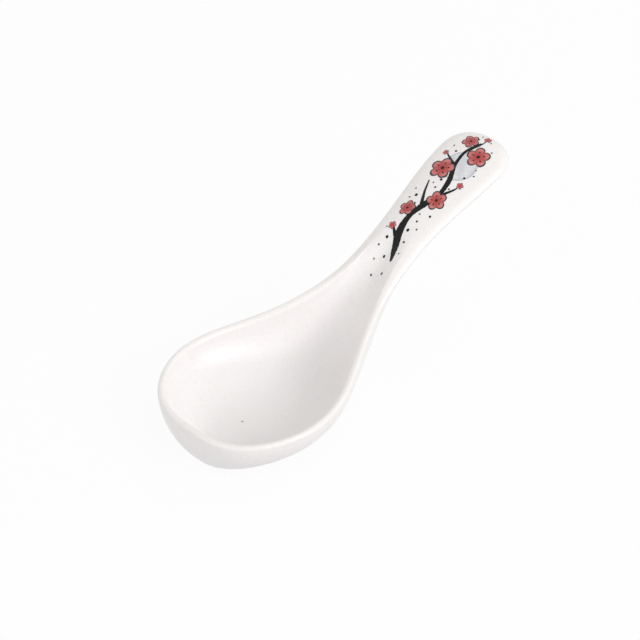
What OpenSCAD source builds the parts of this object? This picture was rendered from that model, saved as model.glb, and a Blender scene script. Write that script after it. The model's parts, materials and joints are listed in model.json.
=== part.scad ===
// A porcelain soup spoon with a deep egg-shaped bowl, a flared handle and a fired-on blossom print.
// X runs from the bowl's tip to the handle's end and Z is up. The origin is the centre of the foot, on the table.

/* [Overall] */
// Straight length from the bowl's tip to the handle's end
spoon_l = 138; // [125:1:170]
// Height of the lip at the bowl's tip
tip_rim_h = 15.4; // [13:0.2:18]
// Height of the lip along the bowl
bowl_rim_h = 16.2; // [14:0.2:20]
// Height of the handle's face at the neck
neck_rim_h = 34.7; // [29:0.1:40]
// Height of the handle's face at its end
end_rim_h = 50.2; // [43:0.1:58]
// Climb of the neck, in degrees
neck_climb = 27; // [20:0.5:32]
// Climb of the handle's end, in degrees
end_climb = 11.5; // [6:0.5:18]

/* [Bowl] */
// Width of the bowl at its widest
bowl_w = 55; // [46:0.2:62]
// Distance from the tip to the bowl's widest place
bowl_x = 24.8; // [21:0.2:30]
// Where the rim stops rising from the tip
rim_level_from = 20; // [14:0.5:26]
// Where the rim starts to climb towards the neck
rim_level_to = 38; // [32:0.5:44]
// Where the underside leaves the level
under_from = 52.8; // [48:0.2:58]
// Where the underside has become the handle's
under_to = 86.4; // [82:0.2:92]
// Where the inside's floor starts to climb
floor_from = 40; // [34:0.5:46]
// Where the bowl's channel has faded into the handle's face
floor_to = 99; // [92:0.5:106]
// How far behind the tip the bowl's floor line starts
floor_line_start = 8; // [5:0.5:12]
// Thickness of the bowl's floor over the foot
floor_t = 2.4; // [1.8:0.1:3.4]
// Thickness of the rounded lip
lip_w = 2; // [1.6:0.1:2.8]

/* [Handle] */
// Distance from the tip to the narrowest place
neck_x = 89.5; // [84:0.5:96]
// Width at the narrowest place
neck_w = 18.2; // [14:0.2:24]
// Width near the handle's end
end_w = 24; // [20:0.2:30]
// Length of the handle's rounded end
end_round = 10.4; // [8:0.2:13]
// Thickness of the handle along its middle
handle_t = 4.7; // [4:0.1:6]
// Width of the handle's rounded top edge
edge_w = 3.2; // [2.4:0.1:4]
// Drop of the handle's rounded top edge
edge_drop = 1.3; // [1:0.1:1.8]
// How far the handle's top bulges along its middle
crown_h = 1.8; // [1:0.1:2.4]

/* [Foot] */
// How much of the underside is ground off for the flat foot
foot_cut = 1; // [0.7:0.1:1.4]
// Distance from the tip to the foot's centre
foot_x = 32.5; // [30:0.5:35]

/* [Glaze and print] */
// Thickness of the glaze
glaze_t = 0.3; // [0.2:0.05:0.4]
// Running gap between pieces that are fused on the real spoon
fuse_gap = 0.02; // [0.01:0.01:0.04]
// Thickness of one colour layer of the print
ink_t = 0.04; // [0.03:0.01:0.06]
// Radius of the largest blossom
blossom_r = 4.2; // [3:0.1:4.8]
// Radius of the moon
moon_r = 5.6; // [4:0.1:6.4]
// Full width of the branch's brush stroke
brush_w = 2.6; // [1.6:0.1:3.2]
// Radius of the largest speckle
speckle_r = 0.55; // [0.35:0.05:0.8]

/* [Hidden] */

// Mesh steps along the plan outline, round the lip, across the surfaces and in the print
front_n = 14;
middle_n = 17;
handle_n = 8;
end_n = 8;
outer_n = 11;
lip_n = 3;
inner_n = 11;
moon_n = 36;
petal_n = 8;
dot_n = 8;
brush_n = 3;

// Roundness of the outline and of the sections, as powers
tip_length_pow = 1.66;
tip_width_pow = 2.73;
end_pow = 2.25;
shoulder_pow = 0.87;
section_width_pow = 2.4;
section_depth_pow = 2;
inner_depth_pow = 1.7;
edge_pow = 2.6;
// How much wider and deeper than its outer half the lip rounds off into the bowl
inner_lip_share = 1.5;

// Places that follow the neck and the handle's end
edge_from = neck_x * 0.67;
edge_to = neck_x * 1.03;
front_fade = neck_x * 0.9;
end_fade = end_round * 3.5;
plan_l = sqrt(pow(spoon_l, 2) - pow(end_rim_h - tip_rim_h, 2));
end_x = plan_l - end_round;
tip_slope = 0.04;
neck_slope = tan(neck_climb);
end_slope = tan(end_climb);
print_from = neck_x * 0.87;
print_l = plan_l - print_from;
edge_reach = edge_w * 1.1;

// Where the print's pieces lie: share of the print's length, share of the face's half width, then what is named
// Moon: place
moon_place_share = [0.71, -0.1];
// Blossoms: place, size and turn in degrees
blossom_shares = [
    [0.65, 0.44, 1, 10], [0.47, -0.46, 0.8, 40], [0.81, -0.38, 0.96, 25], [0.88, 0.4, 0.7, 55],
    [0.36, 0.54, 0.64, 15], [0.245, 0.64, 0.3, 0], [0.945, -0.12, 0.3, 30], [0.61, -0.74, 0.28, 5],
    [0.75, 0.84, 0.24, 50]];
// A blossom up to this size is a bud, with no heart
bud_share = 0.5;
// Radius of a blossom's heart, and of its stamens with their distance from the middle
heart_share = 0.14;
stamen_share = 0.07;
stamen_reach_share = 0.45;
// Brush strokes: places with their width
stroke_shares = [
    [[0.1, -0.55, 0.3], [0.16, -0.32, 0.85], [0.24, 0.04, 1], [0.33, 0.12, 0.7], [0.42, -0.12, 0.85],
        [0.5, -0.34, 0.55], [0.6, -0.22, 0.7], [0.7, 0.1, 0.5], [0.8, 0.18, 0.42], [0.9, -0.04, 0.2]],
    [[0.21, 0.26, 0.4], [0.235, 0.44, 0.28], [0.25, 0.58, 0.12]],
    [[0.425, 0.16, 0.4], [0.48, 0.34, 0.3], [0.555, 0.56, 0.15]],
    [[0.53, -0.56, 0.32], [0.57, -0.68, 0.25], [0.6, -0.72, 0.1]],
    [[0.715, 0.4, 0.3], [0.735, 0.62, 0.22], [0.75, 0.78, 0.1]],
    [[0.835, 0.0, 0.25], [0.88, -0.06, 0.2], [0.93, -0.12, 0.1]]];
// Speckles: place and size
speckle_shares = [
    [0.03, 0.2, 0.5], [0.05, -0.35, 0.6], [0.08, 0.45, 0.4], [0.115, 0.05, 0.7], [0.135, 0.62, 0.5],
    [0.14, -0.78, 0.4], [0.185, 0.48, 0.8], [0.2, -0.62, 0.6], [0.225, 0.88, 0.4], [0.26, -0.36, 0.9],
    [0.285, -0.76, 0.5], [0.32, -0.46, 0.6], [0.36, -0.3, 0.45], [0.38, -0.82, 0.7], [0.4, 0.36, 0.6],
    [0.42, 0.86, 0.5], [0.445, 0.6, 0.9], [0.48, 0.86, 0.45], [0.53, 0.06, 0.6], [0.55, 0.3, 0.45],
    [0.56, -0.5, 0.55], [0.585, 0.1, 0.8], [0.64, -0.02, 0.5], [0.66, -0.62, 0.7], [0.7, -0.84, 0.5],
    [0.735, -0.72, 0.4], [0.78, 0.52, 0.7], [0.81, 0.78, 0.5], [0.88, -0.68, 0.5], [0.915, 0.24, 0.7],
    [0.935, -0.4, 0.45], [0.95, 0.3, 0.4]];

function clamped(u) = min(1, max(0, u));
function ease(u) = let (t = clamped(u)) pow(t, 3) * (10 - 15 * t + 6 * t * t);
function soft(u) = let (t = clamped(u)) t * t * (3 - 2 * t);
function between(a, b, u) = a + (b - a) * u;

// Curve from a to b, each [place, height, slope]
function hermite(a, b, x) =
    let (h = b[0] - a[0], u = (x - a[0]) / h)
    (2 * pow(u, 3) - 3 * u * u + 1) * a[1] + (pow(u, 3) - 2 * u * u + u) * h * a[2]
    + (3 * u * u - 2 * pow(u, 3)) * b[1] + (pow(u, 3) - u * u) * h * b[2];

// Half width of the plan outline at x
function front_half(x) =
    bowl_w / 2 * pow(1 - pow(1 - x / bowl_x, tip_length_pow), 1 / tip_width_pow);
function middle_half(x) =
    between(bowl_w / 2, neck_w / 2, ease(pow((x - bowl_x) / (neck_x - bowl_x), shoulder_pow)));
function flare_half(x) = between(neck_w / 2, end_w / 2, soft((x - neck_x) / (end_x - neck_x)));
function end_half(x) = end_w / 2 * pow(max(0, 1 - pow((x - end_x) / end_round, end_pow)), 1 / end_pow);
function half_w(x) =
    x <= 0 || x >= plan_l ? 0 : x < bowl_x ? front_half(x) : x < neck_x ? middle_half(x)
    : x < end_x ? flare_half(x) : end_half(x);

// Height of the rim, of the underside's lowest line and of the inside's floor at x
tip_knot = [0, tip_rim_h, tip_slope];
level_knot = [rim_level_from, bowl_rim_h, 0];
climb_knot = [rim_level_to, bowl_rim_h, 0];
neck_knot = [neck_x, neck_rim_h, neck_slope];
end_knot = [plan_l, end_rim_h, end_slope];
function rim_z(x) =
    x < rim_level_from ? hermite(tip_knot, level_knot, max(0, x)) : x < rim_level_to ? bowl_rim_h
    : x < neck_x ? hermite(climb_knot, neck_knot, x) : hermite(neck_knot, end_knot, min(x, plan_l));
function under_z(x) = between(-foot_cut, rim_z(x) - handle_t, ease((x - under_from) / (under_to - under_from)));
function floor_z(x) = between(floor_t, rim_z(x), ease((x - floor_from) / (floor_to - floor_from)));

// How far the thin lip has become the handle's broad edge, from 0 to 1
function edge_share(x) = ease((x - edge_from) / (edge_to - edge_from));
function lip_drop(x) = between(lip_w / 2, edge_drop, edge_share(x));
function inner_drop(x) = lip_drop(x) * between(inner_lip_share, 1, edge_share(x));
function reach_in(x) = between(lip_w / 2 * (1 + inner_lip_share), edge_reach, edge_share(x));

// Line along the middle that the sections run to from the outline
function line_x(x) =
    x + floor_line_start * pow(clamped(1 - x / front_fade), 3)
    - end_round * pow(clamped((x - plan_l + end_fade) / end_fade), 3);

// Plan outline from the tip to the handle's end, on one side
plan_x = concat(
    [for (i = [0:front_n]) bowl_x * (1 - pow(cos(90 * i / front_n), 2 / tip_length_pow))],
    [for (i = [1:middle_n]) between(bowl_x, neck_x, i / middle_n)],
    [for (i = [1:handle_n]) between(neck_x, end_x, i / handle_n)],
    [for (i = [1:end_n]) end_x + end_round * pow(sin(90 * i / end_n), 2 / end_pow)]);
plan = [for (x = plan_x) [x, half_w(x)]];
last = len(plan) - 1;
ring_n = 2 * last;
row_n = outer_n + 2 * lip_n + inner_n;
function mirrored(p) = [p.x, -p.y];
function outward(k) =
    let (ahead = k == last ? mirrored(plan[last - 1]) : plan[k + 1],
        behind = k == 0 ? mirrored(plan[1]) : plan[k - 1], way = ahead - behind)
    [-way.y, way.x] / norm(way);

// Heights across the section, where r runs from 0 on the middle line to 1 at the edge, grown by g
function outer_z(x, r, g) =
    let (top = rim_z(x) - lip_drop(x), low = under_z(x) - g)
    top - (top - low) * pow(max(0, 1 - pow(r, section_width_pow)), 1 / section_depth_pow);
function inner_z(x, r, g) =
    let (share = edge_share(x), top = rim_z(x) + g - (inner_drop(x) + g) * (1 - share),
        bowl = pow(max(0, 1 - pow(r, section_width_pow)), 1 / inner_depth_pow), channel = pow(1 - r * r, 2))
    top - (top - floor_z(x) - g) * between(bowl, channel, share);

// How high the handle's top bulges over its edges
function crown(x, y) =
    let (half = half_w(x), across = half > 0 ? min(1, abs(y) / half) : 1,
        end = max(0, 1 - pow(max(0, x - end_x) / end_round, end_pow)))
    crown_h * edge_share(x) * end * (1 - across * across);

// One section from the middle line of the underside, round the lip, to the middle line of the inside
function section(k, g) =
    let (at = plan[k], out = outward(k), rim = at + out * g, mid = [line_x(at.x), 0],
        share = edge_share(at.x), drop = lip_drop(at.x) + g,
        inside_drop = (inner_drop(at.x) + g) * (1 - share),
        crest = between(lip_w / 2, edge_w, share) + g,
        width = reach_in(at.x) + g * (2 - share),
        round_pow = 2 / between(2, edge_pow, share),
        inside = rim - out * width)
    concat(
        [for (j = [0:outer_n]) let (r = sin(90 * j / outer_n), p = between(mid, rim, r))
            [p.x, p.y, outer_z(p.x, r, g)]],
        [for (j = [1:lip_n]) let (a = 90 * j / lip_n, p = rim - out * crest * (1 - pow(cos(a), round_pow)))
            [p.x, p.y, rim_z(p.x) + g - drop * (1 - sin(a)) + crown(p.x, p.y)]],
        [for (j = [1:lip_n]) let (a = 90 * j / lip_n, p = rim - out * between(crest, width, sin(a)))
            [p.x, p.y, rim_z(p.x) + g - inside_drop * (1 - cos(a)) + crown(p.x, p.y)]],
        [for (j = [1:inner_n]) let (r = cos(90 * j / inner_n), p = between(mid, inside, r))
            [p.x, p.y, inner_z(p.x, r, g) + crown(p.x, p.y)]]);

function ring_point(sections, j, c) =
    c <= last ? sections[c][j] : let (p = sections[ring_n - c][j]) [p.x, -p.y, p.z];
function folded(c) = c <= last ? c : ring_n - c;
function point_id(j, c) =
    let (d = c % ring_n)
    j == 0 ? folded(d) : last + 1 + (j - 1) * ring_n + (j == row_n ? folded(d) : d);

// The spoon's whole form, grown by g all over and placed with the foot's centre at the origin
module spoon_form(g) {
    sections = [for (k = [0:last]) section(k, g)];
    points = concat(
        [for (k = [0:last]) sections[k][0]],
        [for (j = [1:row_n - 1]) for (c = [0:ring_n - 1]) ring_point(sections, j, c)],
        [for (k = [0:last]) sections[k][row_n]]);
    faces = [for (j = [0:row_n - 1]) for (c = [0:ring_n - 1]) for (half = [0:1])
        half == 0 ? [point_id(j, c), point_id(j, c + 1), point_id(j + 1, c + 1)]
        : [point_id(j, c), point_id(j + 1, c + 1), point_id(j + 1, c)]];
    translate([-foot_x, 0, 0]) polyhedron(points, faces);
}

// What is ground off under the foot, down from the table's height
module ground_off() {
    translate([-foot_x, -bowl_w / 2, -2 * foot_cut]) cube([spoon_l, bowl_w, 2 * foot_cut]);
}

// The fired body without its glaze, ground flat at the foot
module spoon_body() {
    color([0.93, 0.92, 0.9]) difference() {
        spoon_form(-glaze_t - fuse_gap);
        ground_off();
    }
}

// The glass layer all over the body, ground away under the foot
module glaze_coat() {
    color([0.97, 0.97, 0.96]) difference() {
        spoon_form(0);
        spoon_form(-glaze_t);
        ground_off();
    }
}

// The top face of the spoon, and how wide it is between its rounded edges
function face_half(x) = half_w(x) - reach_in(x);
function face_point(x, y, lift) =
    [x - foot_x, y, inner_z(x, min(1, abs(y) / face_half(x)), 0) + crown(x, y) + lift];
function print_place(at) = let (x = print_from + print_l * at[0]) [x, at[1] * face_half(x)];
function layer_lift(level) = fuse_gap + ink_t + level * (ink_t + fuse_gap);

// A thin patch on the face with the given outline round its place, in rings from its middle
module patch(place, outline, level, rings) {
    n = len(outline);
    low = layer_lift(level);
    levels = [low, low + ink_t];
    points = concat(
        [for (z = levels) for (k = [1:rings]) for (p = outline)
            face_point(place.x + p.x * k / rings, place.y + p.y * k / rings, z)],
        [for (z = levels) face_point(place.x, place.y, z)]);
    top = n * rings;
    mid = 2 * top;
    rim = top - n;
    ring_faces = [for (k = [0:1:rings - 2]) for (i = [0:n - 1]) for (side = [0:1]) for (half = [0:1])
        let (a = side * top + k * n, b = a + n, j = (i + 1) % n,
            f = half == 0 ? [a + i, b + i, b + j] : [a + i, b + j, a + j])
        side == 0 ? f : [f[2], f[1], f[0]]];
    faces = concat(ring_faces,
        [for (i = [0:n - 1]) [mid, i, (i + 1) % n]],
        [for (i = [0:n - 1]) [mid + 1, top + (i + 1) % n, top + i]],
        [for (i = [0:n - 1]) [rim + i, rim + top + i, rim + top + (i + 1) % n]],
        [for (i = [0:n - 1]) [rim + i, rim + top + (i + 1) % n, rim + (i + 1) % n]]);
    polyhedron(points, faces);
}

function round_outline(r, n) = [for (i = [0:n - 1]) r * [cos(360 * i / n), sin(360 * i / n)]];
function petal_reach(a) = 0.68 + 0.32 * abs(cos(a * 5 / 2));
function blossom_outline(r, turn) =
    [for (i = [0:5 * petal_n - 1]) let (a = 72 * i / petal_n)
        r * petal_reach(a) * [cos(a + turn), sin(a + turn)]];

// Smooth curve through the places of a brush stroke
function through(a, b, c, d, u) =
    (2 * b + (c - a) * u + (2 * a - 5 * b + 4 * c - d) * u * u + (3 * b - a - 3 * c + d) * pow(u, 3)) / 2;
function smooth_path(path) =
    let (end = len(path) - 1)
    concat([for (i = [0:end - 1]) for (k = [0:brush_n - 1])
        through(path[max(0, i - 1)], path[i], path[i + 1], path[min(end, i + 2)], k / brush_n)],
        [path[end]]);

// Two triangles for the four corners a, b, c and d, cut from a to c
function split(a, b, c, d) = [[a, b, c], [a, c, d]];

module brush_stroke(shares, level) {
    path = smooth_path([for (p = shares) let (at = print_place(p)) [at.x, at.y, p[2] * brush_w]]);
    end = len(path) - 1;
    low = layer_lift(level);
    points = [for (i = [0:end])
        let (way = path[min(end, i + 1)] - path[max(0, i - 1)],
            side = [-way.y, way.x] / norm([way.x, way.y]) * path[i].z / 2, p = path[i])
        each [
            face_point(p.x + side.x, p.y + side.y, low),
            face_point(p.x + side.x, p.y + side.y, low + ink_t),
            face_point(p.x - side.x, p.y - side.y, low + ink_t),
            face_point(p.x - side.x, p.y - side.y, low)]];
    sides = [for (i = [0:end - 1]) let (a = 4 * i, b = a + 4)
        each concat(split(a, b, b + 1, a + 1), split(a + 1, b + 1, b + 2, a + 2),
            split(a + 2, b + 2, b + 3, a + 3), split(b + 3, b, a, a + 3))];
    far = 4 * end;
    polyhedron(points, concat(sides, split(0, 1, 2, 3), split(far, far + 3, far + 2, far + 1)));
}

// Pale grey layer of the print
module moon_print() {
    color([0.8, 0.81, 0.83]) patch(print_place(moon_place_share), round_outline(moon_r, moon_n), 0, 3);
}

// Black brush strokes of the print
module branch_print() {
    color([0.1, 0.1, 0.11]) for (stroke = stroke_shares) brush_stroke(stroke, 1);
}

// Coral red layer of the print
module blossom_print() {
    color([0.8, 0.36, 0.32]) for (b = blossom_shares)
        patch(print_place(b), blossom_outline(blossom_r * b[2], b[3]), 2, 2);
}

// Black hearts of the open blossoms, each with five stamens
module flower_heart_print() {
    color([0.12, 0.1, 0.1]) for (b = blossom_shares) if (b[2] > bud_share) {
        r = blossom_r * b[2];
        patch(print_place(b), round_outline(r * heart_share, dot_n), 3, 1);
        for (i = [0:4]) {
            a = 72 * i + b[3];
            stamen = r * stamen_reach_share * [cos(a), sin(a)];
            patch(print_place(b) + stamen, round_outline(r * stamen_share, dot_n), 3, 1);
        }
    }
}

// Loose black dots of the print
module speckle_print() {
    color([0.1, 0.1, 0.11]) for (s = speckle_shares)
        patch(print_place(s), round_outline(speckle_r * s[2], dot_n), 3, 1);
}

spoon_body();
glaze_coat();
moon_print();
branch_print();
blossom_print();
flower_heart_print();
speckle_print();
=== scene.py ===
"""A white porcelain soup spoon with a blossom branch fired onto its handle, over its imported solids."""
import json
import math

import bpy
from bpy.props import FloatProperty, FloatVectorProperty, PointerProperty
from mathutils import Matrix, Vector, noise

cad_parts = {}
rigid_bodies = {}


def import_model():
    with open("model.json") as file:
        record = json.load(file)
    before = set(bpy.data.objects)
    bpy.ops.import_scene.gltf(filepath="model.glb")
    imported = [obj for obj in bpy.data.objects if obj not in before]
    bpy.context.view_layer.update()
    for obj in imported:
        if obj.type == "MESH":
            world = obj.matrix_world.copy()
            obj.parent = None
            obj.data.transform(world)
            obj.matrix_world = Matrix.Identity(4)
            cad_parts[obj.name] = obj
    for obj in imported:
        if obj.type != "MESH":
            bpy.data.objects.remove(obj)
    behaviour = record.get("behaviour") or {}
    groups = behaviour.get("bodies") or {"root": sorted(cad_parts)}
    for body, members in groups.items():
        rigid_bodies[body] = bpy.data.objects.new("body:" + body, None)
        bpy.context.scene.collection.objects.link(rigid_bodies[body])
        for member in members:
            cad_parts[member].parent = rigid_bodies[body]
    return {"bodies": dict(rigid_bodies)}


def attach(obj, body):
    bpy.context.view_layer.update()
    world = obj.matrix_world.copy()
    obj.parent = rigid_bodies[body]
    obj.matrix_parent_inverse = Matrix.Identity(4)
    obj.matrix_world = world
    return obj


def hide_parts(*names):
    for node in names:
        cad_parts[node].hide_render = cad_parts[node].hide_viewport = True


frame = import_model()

bl_info = {
    "name": "Porcelain soup spoon",
    "version": (1, 0, 0),
    "blender": (4, 5, 0),
    "location": "View3D > Sidebar > Spoon",
    "description": "Models a glazed porcelain soup spoon with a fired-on blossom print",
    "category": "Mesh",
}

ROOT = sorted(frame["bodies"])[0]
MM = 0.001


def length(name, description, mm):
    """A length that a user would change, given in millimetres."""
    return FloatProperty(name=name, description=description, default=mm * MM, unit="LENGTH", precision=5)


def colour(name, description, code):
    """A colour that a user would change, given as an sRGB hex value."""
    return FloatVectorProperty(
        name=name, description=description, default=linear(code)[:3], size=3, subtype="COLOR", min=0, max=1
    )


def linear(code):
    """The linear colour of an sRGB hex value such as F6F2EE."""
    parts = [int(code[i : i + 2], 16) / 255 for i in (0, 2, 4)]
    return [*(c / 12.92 if c <= 0.04045 else ((c + 0.055) / 1.055) ** 2.4 for c in parts), 1.0]


class SpoonSizes(bpy.types.PropertyGroup):
    """The spoon's real sizes."""

    spoon_l: length("Length", "Straight length from the bowl's tip to the handle's end", 138)
    tip_rim_h: length("Tip rim", "Height of the lip at the bowl's tip", 15.4)
    bowl_rim_h: length("Bowl rim", "Height of the lip along the bowl", 16.2)
    neck_rim_h: length("Neck rim", "Height of the handle's face at the neck", 34.7)
    end_rim_h: length("End rim", "Height of the handle's face at its end", 50.2)
    neck_climb: FloatProperty(
        name="Neck climb", description="Climb of the neck", default=math.radians(27), subtype="ANGLE"
    )
    end_climb: FloatProperty(
        name="End climb", description="Climb of the handle's end", default=math.radians(11.5), subtype="ANGLE"
    )
    bowl_w: length("Bowl width", "Width of the bowl at its widest", 55)
    bowl_x: length("Widest place", "Distance from the tip to the bowl's widest place", 24.8)
    rim_level_from: length("Rim level from", "Where the rim stops rising from the tip", 20)
    rim_level_to: length("Rim level to", "Where the rim starts to climb towards the neck", 38)
    under_from: length("Underside from", "Where the underside leaves the level", 52.8)
    under_to: length("Underside to", "Where the underside has become the handle's", 86.4)
    floor_from: length("Floor from", "Where the inside's floor starts to climb", 40)
    floor_to: length("Floor to", "Where the channel has faded into the handle's face", 99)
    floor_line_start: length("Floor line start", "How far behind the tip the floor line starts", 8)
    floor_t: length("Floor thickness", "Thickness of the bowl's floor over the foot", 2.4)
    lip_w: length("Lip width", "Thickness of the rounded lip", 2)
    neck_x: length("Neck place", "Distance from the tip to the narrowest place", 89.5)
    neck_w: length("Neck width", "Width at the narrowest place", 18.2)
    end_w: length("End width", "Width near the handle's end", 24)
    end_round: length("End rounding", "Length of the handle's rounded end", 10.4)
    handle_t: length("Handle thickness", "Thickness of the handle along its middle", 4.7)
    edge_w: length("Edge width", "Width of the handle's rounded top edge", 3.2)
    edge_drop: length("Edge drop", "Drop of the handle's rounded top edge", 1.3)
    crown_h: length("Crown", "How far the handle's top bulges along its middle", 1.8)
    foot_cut: length("Foot cut", "How much of the underside is ground off for the flat foot", 1)
    foot_x: length("Foot place", "Distance from the tip to the foot's centre", 32.5)
    glaze_t: length("Glaze", "Thickness of the glaze", 0.3)
    ink_t: length("Colour layer", "Thickness of one colour layer of the print", 0.03)
    blossom_r: length("Blossom radius", "Radius of the largest blossom", 4.2)
    moon_r: length("Moon radius", "Radius of the moon", 5.6)
    brush_w: length("Brush width", "Full width of the branch's brush stroke", 2.6)
    speckle_r: length("Speckle radius", "Radius of the largest speckle", 0.55)


class SpoonColours(bpy.types.PropertyGroup):
    """The colours of the fired pieces."""

    glaze_warm: colour("Glaze", "Clear glaze over white porcelain", "F6F3F3")
    glaze_cool: colour("Pooled glaze", "Where the glaze lies thicker, in the bowl", "F3F0F0")
    glaze_thin: colour("Thin glaze", "Where the glaze ran thin over the lip", "F5F1EF")
    bisque: colour("Bisque", "Ground unglazed porcelain", "E6E0D5")
    coral: colour("Coral", "Overglaze coral red", "B2403F")
    coral_pale: colour("Pale coral", "Thin coral at the petals' rims", "D68884")
    ink: colour("Ink", "Overglaze black", "0E0D10")
    ink_dry: colour("Dry ink", "Where the brush ran dry", "5B595E")
    moon: colour("Moon", "Pale grey wash", "D3D5DA")


# The print's places: share of the print's length, share of the face's half width, then what is named
MOON_PLACE = (0.71, -0.1)
# Blossoms: place, size and turn in degrees
BLOSSOMS = (
    (0.65, 0.44, 1, 10), (0.47, -0.46, 0.8, 40), (0.81, -0.38, 0.96, 25), (0.88, 0.4, 0.7, 55),
    (0.36, 0.54, 0.64, 15), (0.245, 0.64, 0.3, 0), (0.945, -0.12, 0.3, 30), (0.61, -0.74, 0.28, 5),
    (0.75, 0.84, 0.24, 50),
)
# Brush strokes: places with their width
STROKES = (
    ((0.1, -0.55, 0.3), (0.16, -0.32, 0.85), (0.24, 0.04, 1), (0.33, 0.12, 0.7), (0.42, -0.12, 0.85),
     (0.5, -0.34, 0.55), (0.6, -0.22, 0.7), (0.7, 0.1, 0.5), (0.8, 0.18, 0.42), (0.9, -0.04, 0.2)),
    ((0.21, 0.1, 0.5), (0.235, 0.44, 0.28), (0.25, 0.58, 0.12)),
    ((0.405, -0.02, 0.5), (0.48, 0.34, 0.3), (0.555, 0.56, 0.15)),
    ((0.505, -0.42, 0.42), (0.57, -0.68, 0.25), (0.6, -0.72, 0.1)),
    ((0.7, 0.16, 0.4), (0.735, 0.62, 0.22), (0.75, 0.78, 0.1)),
    ((0.81, 0.14, 0.3), (0.88, -0.06, 0.2), (0.93, -0.12, 0.1)),
)
# Speckles: place and size
SPECKLES = (
    (0.03, 0.2, 0.5), (0.05, -0.35, 0.6), (0.08, 0.45, 0.4), (0.115, 0.05, 0.7), (0.135, 0.62, 0.5),
    (0.14, -0.78, 0.4), (0.185, 0.48, 0.8), (0.2, -0.62, 0.6), (0.225, 0.88, 0.4), (0.26, -0.36, 0.9),
    (0.285, -0.76, 0.5), (0.32, -0.46, 0.6), (0.36, -0.3, 0.45), (0.38, -0.82, 0.7), (0.4, 0.36, 0.6),
    (0.42, 0.86, 0.5), (0.445, 0.6, 0.9), (0.48, 0.86, 0.45), (0.53, 0.06, 0.6), (0.55, 0.3, 0.45),
    (0.56, -0.5, 0.55), (0.585, 0.1, 0.8), (0.64, -0.02, 0.5), (0.66, -0.62, 0.7), (0.7, -0.84, 0.5),
    (0.735, -0.72, 0.4), (0.78, 0.52, 0.7), (0.81, 0.78, 0.5), (0.88, -0.68, 0.5), (0.915, 0.24, 0.7),
    (0.935, -0.4, 0.45), (0.95, 0.3, 0.4),
)
# Where a grey speck of iron lies under the glaze, on the bowl's floor
IRON_SPECK = (-9.4 * MM, 1.1 * MM, 2.4 * MM)
# How far the glaze is wiped back from the table round the foot
WIPED_H = 0.03 * MM
# Roundness of the outline and of the sections, as powers
TIP_LENGTH_POW, TIP_WIDTH_POW, END_POW, SHOULDER_POW = 1.66, 2.73, 2.25, 0.87
SECTION_WIDTH_POW, SECTION_DEPTH_POW, INNER_DEPTH_POW, EDGE_POW = 2.4, 2.0, 1.7, 2.6
# How much wider and deeper than its outer half the lip rounds off into the bowl
INNER_LIP_SHARE = 1.5
TIP_SLOPE = 0.04
# Shares of a sheet of quads that go to each stretch of the outline, and of the section
OUTLINE_SHARES = (0.3, 0.37, 0.16, 0.17)
SECTION_SHARES = (0.36, 0.14, 0.14, 0.36)
# Shares of the neck's place from the tip: where the lip starts and ends turning into the handle's edge,
# how far the front's slant reaches, and where the print starts
EDGE_FROM_SHARE, EDGE_TO_SHARE, FRONT_FADE_SHARE, PRINT_FROM_SHARE = 0.67, 1.03, 0.9, 0.87
# How far the end's slant fades, in rounded ends, and how far in the edge reaches, in edge widths
END_FADE_SHARE, EDGE_REACH_SHARE = 3.5, 1.1
# Rows of quads across and along the half spoon: glazed form and body
GLAZE_ROWS, BODY_ROWS = (88, 200), (44, 100)
# Corners and cuts of the flat discs: moon, blossom and dot, and rows of quads of a brush stroke
MOON_DISC, BLOSSOM_DISC, DOT_DISC = (96, 7), (100, 8), (20, 2)
STROKE_ROWS, STRETCH_ROWS = 6, 24
# Share of a stroke over which its way is measured, and share of a stretch over which its ends round off
STROKE_STEP, STROKE_END_SHARE = 0.004, 0.12
# How near two corners are when they are one, and how short an edge is when it goes, in metres
MERGE, TINY = 1e-7, 1e-8
# A blossom's petals, the least size of an open one, and shares of its radius: heart, stamens' ring and stamen
PETALS, OPEN_SIZE = 5, 0.5
HEART_SHARE, STAMEN_RING_SHARE, STAMEN_SHARE = 0.14, 0.45, 0.07
# Levels of the colour layers, from the lowest: the twigs start just under the main stroke
MOON_LEVEL, TWIG_LEVEL, BRANCH_LEVEL, BLOSSOM_LEVEL, DOT_LEVEL = 0, 0.8, 1, 2, 3


def clamped(u):
    return min(1.0, max(0.0, u))


def ease(u):
    t = clamped(u)
    return t**3 * (10 - 15 * t + 6 * t * t)


def soft(u):
    t = clamped(u)
    return t * t * (3 - 2 * t)


def between(a, b, u):
    return a + (b - a) * u


def hermite(a, b, x):
    """Height at x of the curve from a to b, each (place, height, slope)."""
    h = b[0] - a[0]
    u = (x - a[0]) / h
    rise = (2 * u**3 - 3 * u * u + 1) * a[1] + (u**3 - 2 * u * u + u) * h * a[2]
    return rise + (3 * u * u - 2 * u**3) * b[1] + (u**3 - u * u) * h * b[2]


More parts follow.
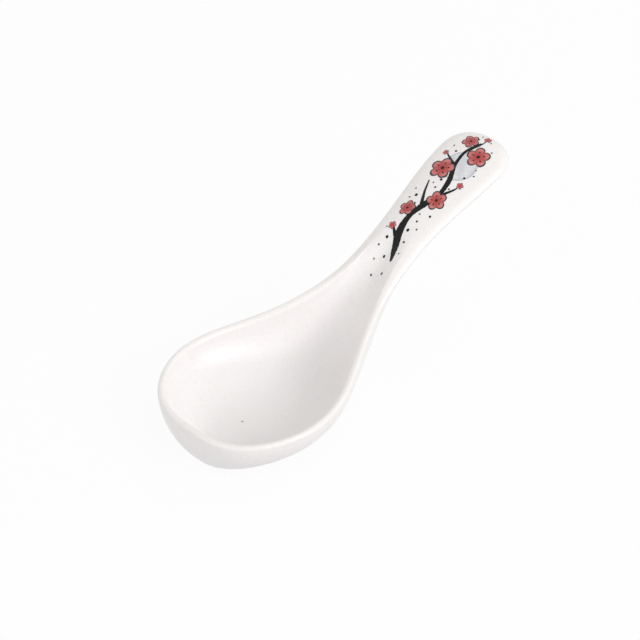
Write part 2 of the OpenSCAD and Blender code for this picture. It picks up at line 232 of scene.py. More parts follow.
class SpoonForm:
    """The spoon's surfaces, worked out from its sizes."""

    def __init__(self, s):
        self.s = s
        self.plan_l = math.sqrt(s.spoon_l**2 - (s.end_rim_h - s.tip_rim_h) ** 2)
        self.end_x = self.plan_l - s.end_round
        self.edge_from, self.edge_to = s.neck_x * EDGE_FROM_SHARE, s.neck_x * EDGE_TO_SHARE
        self.front_fade, self.end_fade = s.neck_x * FRONT_FADE_SHARE, s.end_round * END_FADE_SHARE
        self.print_from = s.neck_x * PRINT_FROM_SHARE
        self.edge_reach = s.edge_w * EDGE_REACH_SHARE
        self.tip_knot = (0, s.tip_rim_h, TIP_SLOPE)
        self.level_knot = (s.rim_level_from, s.bowl_rim_h, 0)
        self.climb_knot = (s.rim_level_to, s.bowl_rim_h, 0)
        self.neck_knot = (s.neck_x, s.neck_rim_h, math.tan(s.neck_climb))
        self.end_knot = (self.plan_l, s.end_rim_h, math.tan(s.end_climb))

    def half_w(self, x):
        """Half width of the plan outline."""
        s = self.s
        if x <= 0 or x >= self.plan_l:
            return 0.0
        if x < s.bowl_x:
            return s.bowl_w / 2 * (1 - (1 - x / s.bowl_x) ** TIP_LENGTH_POW) ** (1 / TIP_WIDTH_POW)
        if x < s.neck_x:
            u = (x - s.bowl_x) / (s.neck_x - s.bowl_x)
            return between(s.bowl_w / 2, s.neck_w / 2, ease(u**SHOULDER_POW))
        if x < self.end_x:
            return between(s.neck_w / 2, s.end_w / 2, soft((x - s.neck_x) / (self.end_x - s.neck_x)))
        return s.end_w / 2 * max(0, 1 - ((x - self.end_x) / s.end_round) ** END_POW) ** (1 / END_POW)

    def rim_z(self, x):
        """Height of the rim."""
        s = self.s
        if x < s.rim_level_from:
            return hermite(self.tip_knot, self.level_knot, max(0, x))
        if x < s.rim_level_to:
            return s.bowl_rim_h
        if x < s.neck_x:
            return hermite(self.climb_knot, self.neck_knot, x)
        return hermite(self.neck_knot, self.end_knot, min(x, self.plan_l))

    def under_z(self, x):
        """Height of the underside's lowest line."""
        s = self.s
        u = (x - s.under_from) / (s.under_to - s.under_from)
        return between(-s.foot_cut, self.rim_z(x) - s.handle_t, ease(u))

    def floor_z(self, x):
        """Height of the inside's floor."""
        s = self.s
        u = (x - s.floor_from) / (s.floor_to - s.floor_from)
        return between(s.floor_t, self.rim_z(x), ease(u))

    def edge_share(self, x):
        """How far the thin lip has become the handle's broad edge."""
        return ease((x - self.edge_from) / (self.edge_to - self.edge_from))

    def lip_drop(self, x):
        """How far the outer half of the lip or edge drops from the rim."""
        return between(self.s.lip_w / 2, self.s.edge_drop, self.edge_share(x))

    def inner_drop(self, x):
        """How deep the lip rounds off towards the inside."""
        return self.lip_drop(x) * between(INNER_LIP_SHARE, 1, self.edge_share(x))

    def reach_in(self, x):
        """How far in from the outline the rounded lip or edge ends."""
        return between(self.s.lip_w / 2 * (1 + INNER_LIP_SHARE), self.edge_reach, self.edge_share(x))

    def line_x(self, x):
        """Place on the middle line that the section at x runs to."""
        s = self.s
        front = s.floor_line_start * clamped(1 - x / self.front_fade) ** 3
        return x + front - s.end_round * clamped((x - self.plan_l + self.end_fade) / self.end_fade) ** 3

    def outer_z(self, x, r, grown):
        """Height of the outside at share r of the way from the middle line to the outline."""
        top, low = self.rim_z(x) - self.lip_drop(x), self.under_z(x) - grown
        return top - (top - low) * max(0, 1 - r**SECTION_WIDTH_POW) ** (1 / SECTION_DEPTH_POW)

    def inner_z(self, x, r, grown):
        """Height of the inside at share r of its half width, without the crown."""
        share = self.edge_share(x)
        top = self.rim_z(x) + grown - (self.inner_drop(x) + grown) * (1 - share)
        bowl, channel = max(0, 1 - r**SECTION_WIDTH_POW) ** (1 / INNER_DEPTH_POW), (1 - r * r) ** 2
        return top - (top - self.floor_z(x) - grown) * between(bowl, channel, share)

    def crown(self, x, y):
        """How high the handle's top bulges over its edges."""
        half = self.half_w(x)
        across = min(1, abs(y) / half) if half > 0 else 1
        end = max(0, 1 - (max(0, x - self.end_x) / self.s.end_round) ** END_POW)
        return self.s.crown_h * self.edge_share(x) * end * (1 - across**2)

    def outline(self, t):
        """Plan point at share t of the outline from the tip to the handle's end."""
        s = self.s
        if t < 0:
            p = self.outline(-t)
            return Vector((p.x, -p.y))
        if t > 1:
            p = self.outline(2 - t)
            return Vector((p.x, -p.y))
        front, middle, handle, end = OUTLINE_SHARES
        if t < front:
            x = s.bowl_x * (1 - math.cos(math.pi / 2 * t / front) ** (2 / TIP_LENGTH_POW))
        elif t < front + middle:
            x = between(s.bowl_x, s.neck_x, (t - front) / middle)
        elif t < front + middle + handle:
            x = between(s.neck_x, self.end_x, (t - front - middle) / handle)
        else:
            u = (t - front - middle - handle) / end
            x = self.end_x + s.end_round * math.sin(math.pi / 2 * u) ** (2 / END_POW)
        return Vector((x, self.half_w(x)))

    def outward(self, t):
        """Direction out of the outline at share t."""
        if t < 1e-6:
            return Vector((-1, 0))
        if t > 1 - 1e-6:
            return Vector((1, 0))
        way = self.outline(t + 1e-4) - self.outline(t - 1e-4)
        return Vector((-way.y, way.x)).normalized()

    def point(self, t, v, grown=0.0):
        """Point at share t of the outline and share v of the section, and how much it lies on the lip.

        v runs from the middle line of the underside, round the lip, to the middle line of the inside.
        """
        s = self.s
        at, out = self.outline(t), self.outward(t)
        rim = at + out * grown
        mid = Vector((self.line_x(at.x), 0))
        share = self.edge_share(at.x)
        drop = self.lip_drop(at.x) + grown
        crest = between(s.lip_w / 2, s.edge_w, share) + grown
        width = self.reach_in(at.x) + grown * (2 - share)
        wall, over, down, face = SECTION_SHARES
        on_lip = 0.0
        if v <= wall:
            r = math.sin(math.pi / 2 * v / wall)
            p = mid.lerp(rim, r)
            z = self.outer_z(p.x, r, grown)
            on_lip = clamped(1 - (wall - v) / over)
        elif v <= wall + over:
            a = math.pi / 2 * (v - wall) / over
            p = rim - out * crest * (1 - max(0, math.cos(a)) ** (2 / between(2, EDGE_POW, share)))
            z = self.rim_z(p.x) + grown - drop * (1 - math.sin(a))
            on_lip = 1.0
        elif v <= wall + over + down:
            a = math.pi / 2 * (v - wall - over) / down
            p = rim - out * between(crest, width, math.sin(a))
            z = self.rim_z(p.x) + grown - (self.inner_drop(at.x) + grown) * (1 - share) * (1 - math.cos(a))
            on_lip = math.cos(a)
        else:
            r = max(0, math.cos(math.pi / 2 * (v - wall - over - down) / face))
            p = mid.lerp(rim - out * width, r)
            z = self.inner_z(p.x, r, grown)
        if v > wall:
            z += self.crown(p.x, p.y)
        return Vector((p.x - s.foot_x, max(0, p.y), z)), on_lip

    def face_half(self, x):
        """Half width of the handle's face between its rounded edges."""
        return self.half_w(x) - self.reach_in(x)

    def on_face(self, x, y, lift):
        """Point on the spoon's top face, lifted off it."""
        r = min(1, abs(y) / self.face_half(x))
        return Vector((x - self.s.foot_x, y, self.inner_z(x, r, 0) + self.crown(x, y) + lift))

    def print_place(self, along, across):
        """Plan point of a place in the print."""
        x = self.print_from + (self.plan_l - self.print_from) * along
        return Vector((x, across * self.face_half(x)))


def layer_lift(s, level):
    """Height of a colour layer's underside over the glaze. The layers lie on one another where they cross."""
    return s.ink_t * (0.5 + level)


def sizes():
    return bpy.context.scene.spoon_sizes


def colours():
    return bpy.context.scene.spoon_colours


def deselect():
    if bpy.context.object and bpy.context.object.mode != "OBJECT":
        bpy.ops.object.mode_set(mode="OBJECT")
    bpy.ops.object.select_all(action="DESELECT")


def named(name):
    """The active object, under a new name."""
    o = bpy.context.object
    o.name = name
    o.data.name = name
    return o


def in_edit(o, *steps):
    """Runs edit-mode steps on the whole of o."""
    deselect()
    o.select_set(True)
    bpy.context.view_layer.objects.active = o
    bpy.ops.object.mode_set(mode="EDIT")
    bpy.ops.mesh.select_all(action="SELECT")
    for step in steps:
        step()
    bpy.ops.object.mode_set(mode="OBJECT")


def modified(o, kind, **settings):
    """Adds a modifier and applies it."""
    deselect()
    o.select_set(True)
    bpy.context.view_layer.objects.active = o
    m = o.modifiers.new(kind.title(), kind)
    for name, value in settings.items():
        setattr(m, name, value)
    bpy.ops.object.modifier_apply(modifier=m.name)


def joined(parts, name):
    """One object from several."""
    deselect()
    for p in parts:
        p.select_set(True)
    bpy.context.view_layer.objects.active = parts[0]
    if len(parts) > 1:
        bpy.ops.object.join()
    return named(name)


def finished(o, material, slot, *nodes):
    """Gives a piece its finish, and lets it stand for its solids on the spoon's body."""
    o.data.materials.clear()
    o.data.materials.append(material)
    for f in o.data.polygons:
        f.material_index = 0
    o.matrix_world = Matrix.Identity(4)
    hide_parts(*nodes)
    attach(o, ROOT)


def add_node(tree, kind, settings=None, values=None, links=None):
    """Adds a node with its settings, its sockets' values and the links into it."""
    node = tree.nodes.new(kind)
    for name, value in (settings or {}).items():
        setattr(node, name, value)
    for name, value in (values or {}).items():
        node.inputs[name].default_value = value
    for name, source in (links or {}).items():
        tree.links.new(source, node.inputs[name])
    return node


def new_material(name):
    """An empty node material with its output, and its tree."""
    m = bpy.data.materials.new(name)
    m.use_nodes = True
    m.node_tree.nodes.clear()
    return m, m.node_tree


def output(tree, shader):
    add_node(tree, "ShaderNodeOutputMaterial", links={"Surface": shader.outputs[0]})


def mix(tree, a, b, factor):
    """A colour between a and b, each a colour or a socket."""
    node = add_node(tree, "ShaderNodeMix", {"data_type": "RGBA"})
    for index, value in ((6, a), (7, b), (0, factor)):
        if isinstance(value, bpy.types.NodeSocket):
            tree.links.new(value, node.inputs[index])
        else:
            node.inputs[index].default_value = value if index == 0 else (*value[:3], 1)
    return node.outputs[2]


def ranged(tree, source, low, high, to_low=0.0, to_high=1.0):
    """A value that runs from to_low to to_high as its source runs from low to high."""
    node = add_node(
        tree,
        "ShaderNodeMapRange",
        values={"From Min": low, "From Max": high, "To Min": to_low, "To Max": to_high},
        links={"Value": source},
    )
    return node.outputs["Result"]


def maths(tree, operation, a, b):
    """One sum of two values, each a number or a socket."""
    node = add_node(tree, "ShaderNodeMath", {"operation": operation})
    for index, value in ((0, a), (1, b)):
        if isinstance(value, bpy.types.NodeSocket):
            tree.links.new(value, node.inputs[index])
        else:
            node.inputs[index].default_value = value
    return node.outputs[0]


def glaze_material(c):
    """Clear feldspar glaze over white porcelain, dipped and fired glossy.

    It is white with a trace of warmth, a little greyer where it pooled in the bowl, and lets the body's
    cream through where it ran thin over the lip. Its surface swells softly, as a glaze that flowed in the
    kiln does, with a faint mottle, a few pinholes and one grey speck of iron.
    """
    m, t = new_material("Clear glaze on porcelain, dipped and fired glossy")
    place = add_node(t, "ShaderNodeTexCoord").outputs["Object"]
    height = add_node(t, "ShaderNodeSeparateXYZ", links={"Vector": place}).outputs["Z"]
    cloud = add_node(
        t, "ShaderNodeTexNoise", values={"Scale": 1 / (24 * MM), "Detail": 2.0}, links={"Vector": place}
    ).outputs["Fac"]
    pooled = maths(t, "MULTIPLY", ranged(t, height, 12 * MM, 3 * MM), ranged(t, cloud, 0.25, 0.75, 0.6, 1.0))
    tone = mix(t, c.glaze_warm, c.glaze_cool, pooled)
    lip = add_node(t, "ShaderNodeAttribute", {"attribute_name": "lip"}).outputs["Fac"]
    tone = mix(t, tone, c.glaze_thin, maths(t, "MULTIPLY", lip, ranged(t, cloud, 0.35, 0.65, 0.35, 0.75)))
    cells = add_node(
        t, "ShaderNodeTexVoronoi", values={"Scale": 1 / (11 * MM), "Randomness": 1.0}, links={"Vector": place}
    )
    chance = add_node(t, "ShaderNodeSeparateColor", links={"Color": cells.outputs["Color"]}).outputs["Red"]
    pinhole = ranged(t, cells.outputs["Distance"], 0.034, 0.016)
    pinhole = maths(t, "MULTIPLY", pinhole, maths(t, "GREATER_THAN", chance, 0.8))
    tone = mix(t, tone, linear("A59C92"), maths(t, "MULTIPLY", pinhole, 0.6))
    mottle = add_node(
        t, "ShaderNodeTexNoise", values={"Scale": 1 / (0.8 * MM), "Detail": 2.0}, links={"Vector": place}
    ).outputs["Fac"]
    tone = mix(t, tone, linear("E4E1DE"), ranged(t, mottle, 0.5, 0.75, 0.0, 0.35))
    away = add_node(t, "ShaderNodeVectorMath", {"operation": "DISTANCE"}, links={0: place})
    away.inputs[1].default_value = IRON_SPECK
    tone = mix(t, tone, linear("8C8780"), ranged(t, away.outputs["Value"], 0.45 * MM, 0.2 * MM))
    swell = add_node(
        t, "ShaderNodeTexNoise", values={"Scale": 1 / (9 * MM), "Detail": 1.0}, links={"Vector": place}
    ).outputs["Fac"]
    bump = add_node(
        t,
        "ShaderNodeBump",
        values={"Strength": 1.0, "Distance": 0.02 * MM},
        links={"Height": maths(t, "SUBTRACT", swell, pinhole)},
    )
    shader = add_node(
        t,
        "ShaderNodeBsdfPrincipled",
        values={"Roughness": 0.28, "IOR": 1.5},
        links={"Base Color": tone, "Normal": bump.outputs["Normal"]},
    )
    output(t, shader)
    return m


def body_material(c):
    """Hard-fired porcelain, ground flat at the foot: dull cream with a fine grain, greyer in worn patches."""
    m, t = new_material("Bisque porcelain, ground flat")
    place = add_node(t, "ShaderNodeTexCoord").outputs["Object"]
    grain = add_node(
        t, "ShaderNodeTexNoise", values={"Scale": 1 / (0.5 * MM), "Detail": 4.0}, links={"Vector": place}
    ).outputs["Fac"]
    worn = add_node(
        t, "ShaderNodeTexNoise", values={"Scale": 1 / (8 * MM), "Detail": 3.0}, links={"Vector": place}
    ).outputs["Fac"]
    tone = mix(t, c.bisque, linear("CFC9BF"), ranged(t, worn, 0.45, 0.75))
    tone = mix(t, tone, linear("F2EDE4"), ranged(t, grain, 0.45, 0.75))
    bump = add_node(
        t, "ShaderNodeBump", values={"Strength": 1.0, "Distance": 0.03 * MM}, links={"Height": grain}
    )
    shader = add_node(
        t,
        "ShaderNodeBsdfPrincipled",
        values={"Roughness": 0.78, "IOR": 1.5},
        links={"Base Color": tone, "Normal": bump.outputs["Normal"]},
    )
    output(t, shader)
    return m


def enamel(t, tone, rough, height=None, depth=0.006 * MM, gloss=0.5):
    """Overglaze enamel: fired on softly, so that it is a little duller than the glaze under it."""
    links = {"Base Color": tone}
    if height is not None:
        bump = add_node(
            t, "ShaderNodeBump", values={"Strength": 1.0, "Distance": depth}, links={"Height": height}
        )
        links["Normal"] = bump.outputs["Normal"]
    values = {"Roughness": rough, "IOR": 1.5, "Specular IOR Level": gloss}
    output(t, add_node(t, "ShaderNodeBsdfPrincipled", values=values, links=links))


def ink_material(c):
    """Overglaze black enamel, laid with a loaded brush: dense in the stroke, with greyer dry streaks."""
    m, t = new_material("Overglaze black enamel, brushed")
    uv = add_node(t, "ShaderNodeTexCoord").outputs["UV"]
    drawn = add_node(t, "ShaderNodeMapping", values={"Scale": (1.0, 4.0, 1.0)}, links={"Vector": uv})
    streaks = add_node(
        t, "ShaderNodeTexNoise", values={"Scale": 6.0, "Detail": 3.0}, links={"Vector": drawn.outputs[0]}
    ).outputs["Fac"]
    place = add_node(t, "ShaderNodeTexCoord").outputs["Object"]
    patches = add_node(
        t, "ShaderNodeTexNoise", values={"Scale": 1 / (5 * MM), "Detail": 2.0}, links={"Vector": place}
    ).outputs["Fac"]
    dry = maths(t, "MULTIPLY", ranged(t, streaks, 0.6, 0.74), ranged(t, patches, 0.5, 0.7))
    enamel(t, mix(t, c.ink, c.ink_dry, dry), 0.45, streaks, gloss=0.2)
    return m


def coral_material(c):
    """Overglaze coral red enamel, shaded by hand.

    It is deep in the heart and along the petals' veins and pale at their rims, with a thin dark contour.
    """
    m, t = new_material("Overglaze coral enamel, shaded")
    reach = add_node(t, "ShaderNodeAttribute", {"attribute_name": "reach"}).outputs["Fac"]
    petal = add_node(t, "ShaderNodeAttribute", {"attribute_name": "petal"}).outputs["Fac"]
    place = add_node(t, "ShaderNodeTexCoord").outputs["Object"]
    wash = add_node(
        t, "ShaderNodeTexNoise", values={"Scale": 1 / (1.1 * MM), "Detail": 2.0}, links={"Vector": place}
    ).outputs["Fac"]
    pale = maths(t, "MULTIPLY", ranged(t, reach, 0.3, 0.88), ranged(t, petal, 1.0, 0.35))
    tone = mix(t, c.coral, c.coral_pale, maths(t, "MULTIPLY", pale, ranged(t, wash, 0.3, 0.62, 0.55, 1.0)))
    tone = mix(t, tone, linear("B23C38"), maths(t, "MULTIPLY", ranged(t, reach, 0.42, 0.12), 0.8))
    vein = maths(t, "MULTIPLY", ranged(t, petal, 0.1, 0.03), ranged(t, reach, 0.62, 0.5))
    tone = mix(t, tone, linear("5A1F20"), maths(t, "MULTIPLY", vein, 0.75))
    wavering = maths(t, "ADD", reach, ranged(t, wash, 0.2, 0.8, -0.035, 0.035))
    tone = mix(t, tone, c.ink, ranged(t, wavering, 0.86, 0.89))
    enamel(t, tone, 0.2, wash)
    return m


def moon_material(c):
    """Overglaze grey enamel in a thin wash: cloudy, with a denser line where the wash dried at its rim."""
    m, t = new_material("Overglaze grey enamel, washed")
    place = add_node(t, "ShaderNodeTexCoord").outputs["Object"]
    cloud = add_node(
        t, "ShaderNodeTexNoise", values={"Scale": 1 / (3 * MM), "Detail": 3.0}, links={"Vector": place}
    ).outputs["Fac"]
    reach = add_node(t, "ShaderNodeAttribute", {"attribute_name": "reach"}).outputs["Fac"]
    tone = mix(t, c.moon, linear("E8E9EC"), ranged(t, cloud, 0.4, 0.68))
    tone = mix(t, tone, linear("B4B7BF"), maths(t, "MULTIPLY", ranged(t, reach, 0.86, 0.97), 0.7))
    enamel(t, tone, 0.2)
    return m


def spoon_shell(form, name, rows, grown, lip=False):
    """The spoon's closed form, drawn out of a flat sheet of quads and mirrored across the middle."""
    across, along = rows
    deselect()
    bpy.ops.mesh.primitive_grid_add(x_subdivisions=along, y_subdivisions=across, size=1)
    o = named(name)
    on_lip = []
    for v in o.data.vertices:
        v.co, share = form.point(clamped(v.co.x + 0.5), clamped(v.co.y + 0.5), grown)
        on_lip.append(share)
    if lip:
        thin = o.data.attributes.new("lip", "FLOAT", "POINT")
        thin.data.foreach_set("value", on_lip)
    modified(o, "MIRROR", use_axis=(False, True, False), use_mirror_merge=True, merge_threshold=MERGE)
    in_edit(
        o,
        lambda: bpy.ops.mesh.remove_doubles(threshold=MERGE),
        lambda: bpy.ops.mesh.dissolve_degenerate(threshold=TINY),
        lambda: bpy.ops.mesh.normals_make_consistent(inside=False),
    )
    bpy.ops.object.shade_smooth()
    return o


def ground_flat(o, height):
    """Grinds off what lies under a height, fills the flat and keeps its edge sharp."""
    in_edit(
        o,
        lambda: bpy.ops.mesh.bisect(
            plane_co=(0, 0, height), plane_no=(0, 0, 1), use_fill=True, clear_inner=True, threshold=MERGE
        ),
        lambda: bpy.ops.mesh.mark_sharp(),
    )


class SPOON_OT_glaze(bpy.types.Operator):
    """Models the glazed surface, from the bowl to the handle's end"""

    bl_idname = "spoon.glaze"
    bl_label = "Glazed form"

    def execute(self, context):
        form = SpoonForm(sizes())
        o = spoon_shell(form, "glazed_form", GLAZE_ROWS, 0.0, lip=True)
        ground_flat(o, WIPED_H)
        finished(o, glaze_material(colours()), "glaze", "glaze_coat")
        return {"FINISHED"}


class SPOON_OT_body(bpy.types.Operator):
    """Models the porcelain body under the glaze, ground flat at the foot"""

    bl_idname = "spoon.body"
    bl_label = "Body and foot"

    def execute(self, context):
        s = sizes()
        o = spoon_shell(SpoonForm(s), "porcelain_body", BODY_ROWS, -s.glaze_t)
        ground_flat(o, 0)
        finished(o, body_material(colours()), "porcelain", "spoon_body")
        return {"FINISHED"}


def disc(name, corners, cuts):
    """A flat disc of radius 1 with rings of faces, so that it can follow a curved face."""
    deselect()
    bpy.ops.mesh.primitive_circle_add(vertices=corners, radius=1, fill_type="TRIFAN")
    o = named(name)
    in_edit(o, lambda: bpy.ops.mesh.subdivide(number_cuts=cuts))
    return o


def laid_on(form, o, place, outline, level, turn=0.0):
    """Lays a flat disc on the spoon's face, its rim drawn to outline(angle), and keeps its polar places."""
    reach, petal, points = [], [], []
    for v in o.data.vertices:
        ring = math.hypot(v.co.x, v.co.y)
        angle = math.atan2(v.co.y, v.co.x)
        r = ring * outline(angle)
        x, y = place.x + r * math.cos(angle + turn), place.y + r * math.sin(angle + turn)
        points.append(form.on_face(x, y, layer_lift(form.s, level)))
        reach.append(ring)
        petal.append(abs((angle / math.radians(360 / PETALS) + 0.5) % 1 - 0.5) * 2)
    for v, p in zip(o.data.vertices, points):
        v.co = p
    for name, values in (("reach", reach), ("petal", petal)):
        layer = o.data.attributes.new(name, "FLOAT", "POINT")
        layer.data.foreach_set("value", values)
    return o


def thickened(o, s):
    """Gives a laid layer of colour its thickness, upwards."""
    in_edit(o, lambda: bpy.ops.mesh.normals_make_consistent(inside=False))
    if o.data.polygons[0].normal.z < 0:
        in_edit(o, lambda: bpy.ops.mesh.flip_normals())
    modified(o, "SOLIDIFY", thickness=s.ink_t, offset=1.0)
    deselect()
    o.select_set(True)
    bpy.context.view_layer.objects.active = o
    bpy.ops.object.shade_smooth_by_angle(angle=math.radians(40))


def waver(angle, spread, seed):
    """How far a hand-drawn rim wavers at an angle, from -1 to 1."""
    return noise.noise(Vector((spread * math.cos(angle), spread * math.sin(angle), seed)))


def copied(source, name):
    """A copy of an object with its own mesh."""
    o = source.copy()
    o.data = source.data.copy()
    o.name = name
    bpy.context.collection.objects.link(o)
    return o


class SPOON_OT_moon(bpy.types.Operator):
    """Models the pale grey layer of the print"""

    bl_idname = "spoon.moon"
    bl_label = "Moon"

    def execute(self, context):
        form = SpoonForm(sizes())
        s = form.s
        o = disc("moon_wash", *MOON_DISC)

        def edge(angle):
            return s.moon_r * (1 - 0.02 * (1 + waver(angle, 2, 3)))

        laid_on(form, o, form.print_place(*MOON_PLACE), edge, MOON_LEVEL)
        thickened(o, s)
        finished(o, moon_material(colours()), "grey_print", "moon_print")
        return {"FINISHED"}


class SPOON_OT_blossoms(bpy.types.Operator):
    """Models the coral blossoms and buds"""

    bl_idname = "spoon.blossoms"
    bl_label = "Blossoms"

    def execute(self, context):
        form = SpoonForm(sizes())
        s = form.s
        model = disc("blossom_model", *BLOSSOM_DISC)
        parts = []
        for index, (along, across, size, turn) in enumerate(BLOSSOMS):

            def edge(angle, size=size, index=index):
                lobe = abs(math.cos(angle * PETALS / 2)) ** 0.75
                drawn = 0.97 + 0.03 * waver(angle, 3, 7.3 * index)
                return s.blossom_r * size * ((0.66 + 0.34 * lobe) * drawn)

            o = copied(model, "blossom")
            place = form.print_place(along, across)
            parts.append(laid_on(form, o, place, edge, BLOSSOM_LEVEL, math.radians(turn)))
        bpy.data.objects.remove(model)
        o = joined(parts, "coral_blossoms")
        thickened(o, s)
        finished(o, coral_material(colours()), "coral_print", "blossom_print")
        return {"FINISHED"}


def dots(form, name, places):
    """Small round dots of enamel, each at a place with a radius, as one object."""
    model = disc("dot_model", *DOT_DISC)
    parts = []
    for index, (place, radius) in enumerate(places):

        def edge(angle, radius=radius, index=index):
            return radius * (0.94 + 0.06 * waver(angle, 2, 5.1 * index))

        parts.append(laid_on(form, copied(model, "dot"), place, edge, DOT_LEVEL))
    bpy.data.objects.remove(model)
    return joined(parts, name)


class SPOON_OT_hearts(bpy.types.Operator):
    """Models the black hearts and stamens of the open blossoms"""

    bl_idname = "spoon.hearts"
    bl_label = "Flower hearts"

    def execute(self, context):
        form = SpoonForm(sizes())
        s = form.s
        places = []
        for along, across, size, turn in BLOSSOMS:
            if size > OPEN_SIZE:
                middle, r = form.print_place(along, across), s.blossom_r * size
                places.append((middle, r * HEART_SHARE))
                for k in range(PETALS):
                    a = math.radians(turn + 360 / PETALS * k)
                    ring = r * STAMEN_RING_SHARE * Vector((math.cos(a), math.sin(a)))
                    places.append((middle + ring, r * STAMEN_SHARE))
        o = dots(form, "flower_hearts", places)
        thickened(o, s)
        finished(o, ink_material(colours()), "black_print", "flower_heart_print")
        return {"FINISHED"}


class SPOON_OT_speckles(bpy.types.Operator):
    """Models the loose black speckles"""

    bl_idname = "spoon.speckles"
    bl_label = "Speckles"

    def execute(self, context):
        form = SpoonForm(sizes())
        s = form.s
        places = [(form.print_place(along, across), s.speckle_r * size) for along, across, size in SPECKLES]
        o = dots(form, "ink_speckles", places)
        thickened(o, s)
        finished(o, ink_material(colours()), "black_print", "speckle_print")
        return {"FINISHED"}


def through(path, t):
    """Place on the smooth curve through the path's places, at share t of it."""
    last = len(path) - 1
    i = min(int(t * last), last - 1)
    u = t * last - i
    a, b, c, d = path[max(0, i - 1)], path[i], path[i + 1], path[min(last, i + 2)]
    return (2 * b + (c - a) * u + (2 * a - 5 * b + 4 * c - d) * u * u + (3 * b - a - 3 * c + d) * u**3) / 2


class SPOON_OT_branch(bpy.types.Operator):
    """Models the brush strokes of the branch and its twigs"""

    bl_idname = "spoon.branch"
    bl_label = "Branch"

    def execute(self, context):
        form = SpoonForm(sizes())
        s = form.s
        parts = []
        for index, stroke in enumerate(STROKES):
            lift = layer_lift(s, BRANCH_LEVEL if index == 0 else TWIG_LEVEL)
            path = []
            for along, across, width in stroke:
                at = form.print_place(along, across)
                path.append(Vector((at.x, at.y, width * s.brush_w)))
            deselect()
            stretches = len(path) - 1
            bpy.ops.mesh.primitive_grid_add(
                x_subdivisions=STRETCH_ROWS * stretches, y_subdivisions=STROKE_ROWS, size=1
            )
            o = named("brush_stroke")
            for v in o.data.vertices:
                t, across = clamped(v.co.x + 0.5), v.co.y * 2
                at = through(path, t)
                way = through(path, min(1, t + STROKE_STEP)) - through(path, max(0, t - STROKE_STEP))
                side = Vector((-way.y, way.x)).normalized()
                ragged = noise.noise(Vector((t * 9 * len(path), across * 1.5, 11 * index)))
                ends = math.sqrt(clamped(min(t, 1 - t) * stretches / STROKE_END_SHARE + 0.02))
                half = at.z / 2 * ends * (0.94 + 0.1 * ragged)
                v.co = form.on_face(at.x + side.x * half * across, at.y + side.y * half * across, lift)
            parts.append(o)
        o = joined(parts, "brushed_branch")
        thickened(o, s)
        finished(o, ink_material(colours()), "black_print", "branch_print")
        return {"FINISHED"}


# The camera and the lamps aim at the middle of the spoon's plan, at this height
MIDDLE_H = 8.2 * MM
# The camera as seen from there: its elevation, how far its view turns to the spoon's left, and its distance
CAMERA_ELEVATION, CAMERA_TURN, CAMERA_DISTANCE = math.radians(40.5), math.radians(46.5), 758 * MM
# Where that middle falls in the square frame, and at what scale
FRAME_PX, SENSOR_W = 640, 36
MIDDLE_PX, PX_PER_MM = (345.3, 339.8), 3.25
# The floor's size, its depth under the foot, how brightly its paper shows, and the share of that in view
FLOOR_SIZE, FLOOR_GAP, PAPER_SHOWN, PAPER_SHARE = 6, 0.02 * MM, 1.03, 0.9
# The room's light, a little warm from its walls
ROOM_TONE, ROOM_LIGHT = (1, 0.99, 0.97, 1), 0.535
# Soft lamps round the spoon: name, turn from the view's right away from the viewer, height angle, size in
# metres and power in watts
LAMPS = (
    ("key", 330, 32, 0.45, 2.4), ("key_fill_high", 315, 45, 0.8, 1.35), ("key_fill_low", 305, 15, 0.8, 1.4),
    ("left_back", 135, 15, 0.8, 0.6), ("left_front", 218, 15, 0.8, 2.3), ("right_back", 45, 45, 0.8, 1.3),
)
LAMP_DISTANCE = 1.0


def in_view(tree):
    """Whether a ray comes from the camera, a glossy surface or through a clear one."""
    paths = add_node(tree, "ShaderNodeLightPath")
    seen = maths(tree, "MAXIMUM", paths.outputs["Is Camera Ray"], paths.outputs["Is Glossy Ray"])
    return maths(tree, "MAXIMUM", seen, paths.outputs["Is Transmission Ray"])


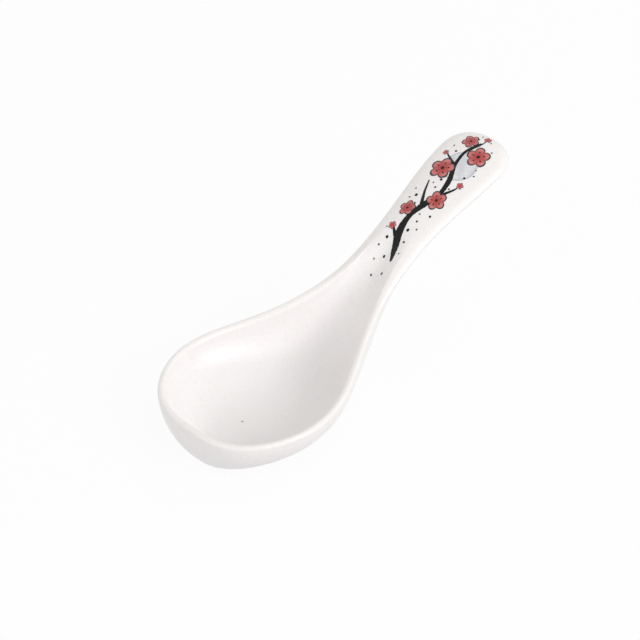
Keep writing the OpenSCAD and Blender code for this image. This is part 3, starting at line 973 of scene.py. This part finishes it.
class SPOON_OT_stage(bpy.types.Operator):
    """Sets the floor, the soft lamps, the world and the camera"""

    bl_idname = "spoon.stage"
    bl_label = "Floor, light and camera"

    def execute(self, context):
        scene = context.scene
        form = SpoonForm(sizes())
        deselect()
        bpy.ops.mesh.primitive_plane_add(size=FLOOR_SIZE)
        floor = named("studio_floor")
        floor.location.z = -FLOOR_GAP
        m, t = new_material("Matte white studio paper")
        seen = in_view(t)
        paper = add_node(t, "ShaderNodeBsdfDiffuse", values={"Color": linear("D6D6D8")})
        white = add_node(t, "ShaderNodeEmission", values={"Color": (1, 1, 1, 1), "Strength": PAPER_SHOWN})
        shown = maths(t, "MULTIPLY", seen, PAPER_SHARE)
        both = add_node(t, "ShaderNodeMixShader", links={0: shown, 1: paper.outputs[0], 2: white.outputs[0]})
        output(t, both)
        floor.data.materials.append(m)

        world = bpy.data.worlds.new("Studio")
        scene.world = world
        world.use_nodes = True
        t = world.node_tree
        t.nodes.clear()
        seen = in_view(t)
        room = add_node(t, "ShaderNodeBackground", values={"Color": ROOM_TONE, "Strength": ROOM_LIGHT})
        back = add_node(t, "ShaderNodeBackground", values={"Color": (1, 1, 1, 1), "Strength": 1.0})
        both = add_node(t, "ShaderNodeMixShader", links={0: seen, 1: room.outputs[0], 2: back.outputs[0]})
        add_node(t, "ShaderNodeOutputWorld", links={"Surface": both.outputs[0]})

        right = Vector((math.cos(CAMERA_TURN), -math.sin(CAMERA_TURN), 0))
        away = Vector((math.sin(CAMERA_TURN), math.cos(CAMERA_TURN), 0))
        middle = Vector((form.plan_l / 2 - form.s.foot_x, 0, MIDDLE_H))
        for name, turn, height, size, power in LAMPS:
            turn, height = math.radians(turn), math.radians(height)
            level = right * math.cos(turn) + away * math.sin(turn)
            offset = (level * math.cos(height) + Vector((0, 0, math.sin(height)))) * LAMP_DISTANCE
            light = bpy.data.lights.new(name, "AREA")
            light.shape = "DISK"
            light.size = size
            light.energy = power
            lamp = bpy.data.objects.new(name, light)
            context.collection.objects.link(lamp)
            lamp.location = middle + offset
            lamp.rotation_euler = (-offset).to_track_quat("-Z", "Y").to_euler()

        cam = bpy.data.cameras.new("camera")
        cam.sensor_width = SENSOR_W
        cam.lens = PX_PER_MM / MM * CAMERA_DISTANCE * cam.sensor_width / FRAME_PX
        cam.shift_x = (FRAME_PX / 2 - MIDDLE_PX[0]) / FRAME_PX
        cam.shift_y = (MIDDLE_PX[1] - FRAME_PX / 2) / FRAME_PX
        cam.clip_start = 0.01
        camera = bpy.data.objects.new("camera", cam)
        context.collection.objects.link(camera)
        back = -away * math.cos(CAMERA_ELEVATION) + Vector((0, 0, math.sin(CAMERA_ELEVATION)))
        camera.location = middle + back * CAMERA_DISTANCE
        camera.rotation_euler = (-back).to_track_quat("-Z", "Y").to_euler()
        scene.camera = camera
        scene.view_settings.view_transform = "Standard"
        return {"FINISHED"}


class SPOON_PT_panel(bpy.types.Panel):
    """Lists the spoon's steps and sizes"""

    bl_label = "Porcelain spoon"
    bl_space_type = "VIEW_3D"
    bl_region_type = "UI"
    bl_category = "Spoon"

    def draw(self, context):
        for operator in OPERATORS:
            self.layout.operator(operator.bl_idname)
        for group in (context.scene.spoon_sizes, context.scene.spoon_colours):
            box = self.layout.box()
            for name in group.bl_rna.properties.keys():
                if name not in ("rna_type", "name"):
                    box.prop(group, name)


OPERATORS = (
    SPOON_OT_body, SPOON_OT_glaze, SPOON_OT_moon, SPOON_OT_branch, SPOON_OT_blossoms, SPOON_OT_hearts,
    SPOON_OT_speckles, SPOON_OT_stage,
)


def register():
    for group in (SpoonSizes, SpoonColours, *OPERATORS, SPOON_PT_panel):
        bpy.utils.register_class(group)
    bpy.types.Scene.spoon_sizes = PointerProperty(type=SpoonSizes)
    bpy.types.Scene.spoon_colours = PointerProperty(type=SpoonColours)


def unregister():
    del bpy.types.Scene.spoon_colours
    del bpy.types.Scene.spoon_sizes
    for group in (SPOON_PT_panel, *reversed(OPERATORS), SpoonColours, SpoonSizes):
        bpy.utils.unregister_class(group)


def main():
    register()
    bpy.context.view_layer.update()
    bpy.ops.spoon.body()
    bpy.ops.spoon.glaze()
    bpy.ops.spoon.moon()
    bpy.ops.spoon.branch()
    bpy.ops.spoon.blossoms()
    bpy.ops.spoon.hearts()
    bpy.ops.spoon.speckles()
    bpy.ops.spoon.stage()


if __name__ == "__main__":
    main()
